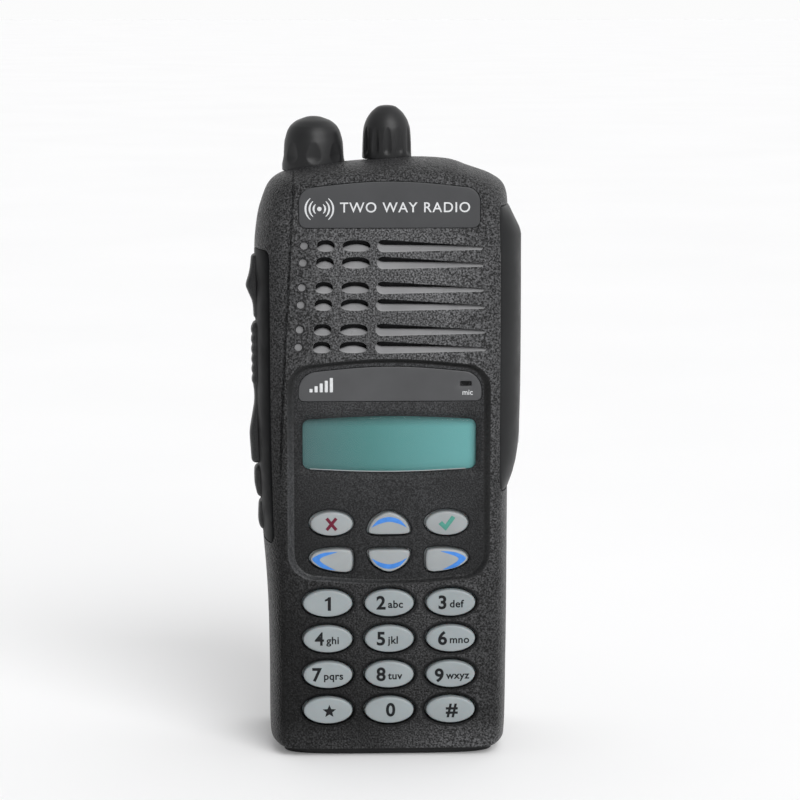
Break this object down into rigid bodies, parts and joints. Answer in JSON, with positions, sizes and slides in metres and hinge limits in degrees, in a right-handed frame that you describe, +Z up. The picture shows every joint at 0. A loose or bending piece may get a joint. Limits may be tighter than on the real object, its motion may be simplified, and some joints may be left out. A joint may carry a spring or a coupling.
{
  "type": "two way radio",
  "caption": "Handheld two-way radio with a display, keypad, side and top controls, an accessory connector cover and a clip-on battery.",
  "frame": {"origin": "on the flat base, under the middle of the display and keypad", "axes": "+X to the right of someone facing the keypad, +Y from the keypad to the battery, +Z up"},
  "size_m": [0.0631, 0.0384, 0.1489],
  "materials": {
    "housing_plastic": "coarse grained moulded plastic",
    "satin_plastic": "smooth satin moulded plastic",
    "knob_plastic": "satin moulded plastic with flutes",
    "button_rubber": "soft-touch rubber with a fine texture",
    "accent_orange": "satin moulded plastic",
    "lens_clear": "clear polycarbonate window",
    "display_panel": "reflective liquid crystal display",
    "key_white": "satin silicone with printed legends",
    "key_grey": "satin silicone with printed legends",
    "silicone": "matt silicone sheet",
    "circuit_board": "glass-epoxy board with green solder mask",
    "die_cast": "zinc and steel bodies of the controls",
    "plated_steel": "nickel-plated steel",
    "gold_brass": "gold-flashed brass",
    "cell_wrap": "shrink wrap on the cells"
  },
  "bodies": {
    "radio": {"front_housing": "housing_plastic", "side_bezel": "satin_plastic", "name_plate": "satin_plastic", "model_plate": "satin_plastic", "display_lens": "lens_clear", "display_module": "display_panel", "keypad_mat": "silicone", "keypad_board": "circuit_board", "speaker": "die_cast", "speaker_felt": "silicone", "microphone": "die_cast", "side_switch_strip": "circuit_board", "chassis": "satin_plastic", "housing_seal": "silicone", "main_board": "circuit_board", "shield_cans": "plated_steel", "volume_switch": "die_cast", "channel_switch": "die_cast", "control_nuts": "plated_steel", "antenna_bushing": "gold_brass", "status_led": "lens_clear", "contact_block": "satin_plastic", "radio_contacts": "gold_brass", "accessory_connector": "satin_plastic", "chassis_screws": "plated_steel"},
    "key_cancel": {"key_cancel": "key_white"},
    "key_up": {"key_up": "key_white"},
    "key_confirm": {"key_confirm": "key_white"},
    "key_left": {"key_left": "key_white"},
    "key_down": {"key_down": "key_white"},
    "key_right": {"key_right": "key_white"},
    "key_1": {"key_1": "key_grey"},
    "key_2": {"key_2": "key_grey"},
    "key_3": {"key_3": "key_grey"},
    "key_4": {"key_4": "key_grey"},
    "key_5": {"key_5": "key_grey"},
    "key_6": {"key_6": "key_grey"},
    "key_7": {"key_7": "key_grey"},
    "key_8": {"key_8": "key_grey"},
    "key_9": {"key_9": "key_grey"},
    "key_star": {"key_star": "key_grey"},
    "key_0": {"key_0": "key_grey"},
    "key_hash": {"key_hash": "key_grey"},
    "top_button": {"top_button": "accent_orange"},
    "side_button_upper": {"side_button_upper": "button_rubber"},
    "ptt_button": {"ptt_button": "button_rubber"},
    "side_button_middle": {"side_button_middle": "button_rubber"},
    "side_button_lower": {"side_button_lower": "button_rubber"},
    "volume_knob": {"volume_knob": "knob_plastic", "volume_shaft": "plated_steel"},
    "channel_knob": {"channel_knob": "knob_plastic", "channel_shaft": "plated_steel"},
    "accessory_cover": {"accessory_cover": "satin_plastic"},
    "accessory_screw": {"accessory_screw": "plated_steel"},
    "battery": {"battery_case": "housing_plastic", "battery_lid": "satin_plastic", "battery_cells": "cell_wrap", "battery_contacts": "gold_brass"},
    "battery_latch_left": {"battery_latch_left": "satin_plastic"},
    "battery_latch_right": {"battery_latch_right": "satin_plastic"}
  },
  "joints": [
    {"name": "key_cancel_press", "type": "slide", "parent": "radio", "child": "key_cancel", "axis": [0, 1, 0], "range_m": [0, 0.0007], "stiffness_N_per_m": 1500},
    {"name": "key_up_press", "type": "slide", "parent": "radio", "child": "key_up", "axis": [0, 1, 0], "range_m": [0, 0.0007], "stiffness_N_per_m": 1500},
    {"name": "key_confirm_press", "type": "slide", "parent": "radio", "child": "key_confirm", "axis": [0, 1, 0], "range_m": [0, 0.0007], "stiffness_N_per_m": 1500},
    {"name": "key_left_press", "type": "slide", "parent": "radio", "child": "key_left", "axis": [0, 1, 0], "range_m": [0, 0.0007], "stiffness_N_per_m": 1500},
    {"name": "key_down_press", "type": "slide", "parent": "radio", "child": "key_down", "axis": [0, 1, 0], "range_m": [0, 0.0007], "stiffness_N_per_m": 1500},
    {"name": "key_right_press", "type": "slide", "parent": "radio", "child": "key_right", "axis": [0, 1, 0], "range_m": [0, 0.0007], "stiffness_N_per_m": 1500},
    {"name": "key_1_press", "type": "slide", "parent": "radio", "child": "key_1", "axis": [0, 1, 0], "range_m": [0, 0.0007], "stiffness_N_per_m": 1500},
    {"name": "key_2_press", "type": "slide", "parent": "radio", "child": "key_2", "axis": [0, 1, 0], "range_m": [0, 0.0007], "stiffness_N_per_m": 1500},
    {"name": "key_3_press", "type": "slide", "parent": "radio", "child": "key_3", "axis": [0, 1, 0], "range_m": [0, 0.0007], "stiffness_N_per_m": 1500},
    {"name": "key_4_press", "type": "slide", "parent": "radio", "child": "key_4", "axis": [0, 1, 0], "range_m": [0, 0.0007], "stiffness_N_per_m": 1500},
    {"name": "key_5_press", "type": "slide", "parent": "radio", "child": "key_5", "axis": [0, 1, 0], "range_m": [0, 0.0007], "stiffness_N_per_m": 1500},
    {"name": "key_6_press", "type": "slide", "parent": "radio", "child": "key_6", "axis": [0, 1, 0], "range_m": [0, 0.0007], "stiffness_N_per_m": 1500},
    {"name": "key_7_press", "type": "slide", "parent": "radio", "child": "key_7", "axis": [0, 1, 0], "range_m": [0, 0.0007], "stiffness_N_per_m": 1500},
    {"name": "key_8_press", "type": "slide", "parent": "radio", "child": "key_8", "axis": [0, 1, 0], "range_m": [0, 0.0007], "stiffness_N_per_m": 1500},
    {"name": "key_9_press", "type": "slide", "parent": "radio", "child": "key_9", "axis": [0, 1, 0], "range_m": [0, 0.0007], "stiffness_N_per_m": 1500},
    {"name": "key_star_press", "type": "slide", "parent": "radio", "child": "key_star", "axis": [0, 1, 0], "range_m": [0, 0.0007], "stiffness_N_per_m": 1500},
    {"name": "key_0_press", "type": "slide", "parent": "radio", "child": "key_0", "axis": [0, 1, 0], "range_m": [0, 0.0007], "stiffness_N_per_m": 1500},
    {"name": "key_hash_press", "type": "slide", "parent": "radio", "child": "key_hash", "axis": [0, 1, 0], "range_m": [0, 0.0007], "stiffness_N_per_m": 1500},
    {"name": "side_button_upper_press", "type": "slide", "parent": "radio", "child": "side_button_upper", "axis": [1, 0, 0], "range_m": [0, 0.0007], "stiffness_N_per_m": 3000},
    {"name": "side_button_middle_press", "type": "slide", "parent": "radio", "child": "side_button_middle", "axis": [1, 0, 0], "range_m": [0, 0.0007], "stiffness_N_per_m": 3000},
    {"name": "side_button_lower_press", "type": "slide", "parent": "radio", "child": "side_button_lower", "axis": [1, 0, 0], "range_m": [0, 0.0007], "stiffness_N_per_m": 3000},
    {"name": "ptt_press", "type": "hinge", "parent": "radio", "child": "ptt_button", "pos_m": [-0.0286, -0.0048, 0.069], "axis": [0, 1, 0], "range_deg": [0, 2.3], "stiffness_Nm_per_rad": 2},
    {"name": "top_button_press", "type": "slide", "parent": "radio", "child": "top_button", "axis": [0, 0, -1], "range_m": [0, 0.0005], "stiffness_N_per_m": 3000},
    {"name": "volume_turn", "type": "hinge", "parent": "radio", "child": "volume_knob", "pos_m": [-0.0167, -0.0015, 0.14], "axis": [0, 0, 1], "range_deg": [-290, 0]},
    {"name": "channel_turn", "type": "hinge", "parent": "radio", "child": "channel_knob", "pos_m": [0, -0.0015, 0.14], "axis": [0, 0, 1], "range_deg": [-337.5, 0]},
    {"name": "battery_tilt", "type": "hinge", "parent": "radio", "child": "battery", "pos_m": [0, 0.005, 0.0028], "axis": [-1, 0, 0], "range_deg": [0, 25]},
    {"name": "battery_latch_left_slide", "type": "slide", "parent": "battery", "child": "battery_latch_left", "axis": [0, 0, -1], "range_m": [0, 0.003], "stiffness_N_per_m": 600},
    {"name": "battery_latch_right_slide", "type": "slide", "parent": "battery", "child": "battery_latch_right", "axis": [0, 0, -1], "range_m": [0, 0.003], "stiffness_N_per_m": 600},
    {"name": "accessory_cover_off", "type": "slide", "parent": "radio", "child": "accessory_cover", "axis": [1, 0, 0], "range_m": [0, 0.015]},
    {"name": "accessory_screw_turn", "type": "hinge", "parent": "accessory_cover", "child": "accessory_screw", "pos_m": [0.027, -0.0046, 0.074], "axis": [1, 0, 0], "continuous": true}
  ]
}
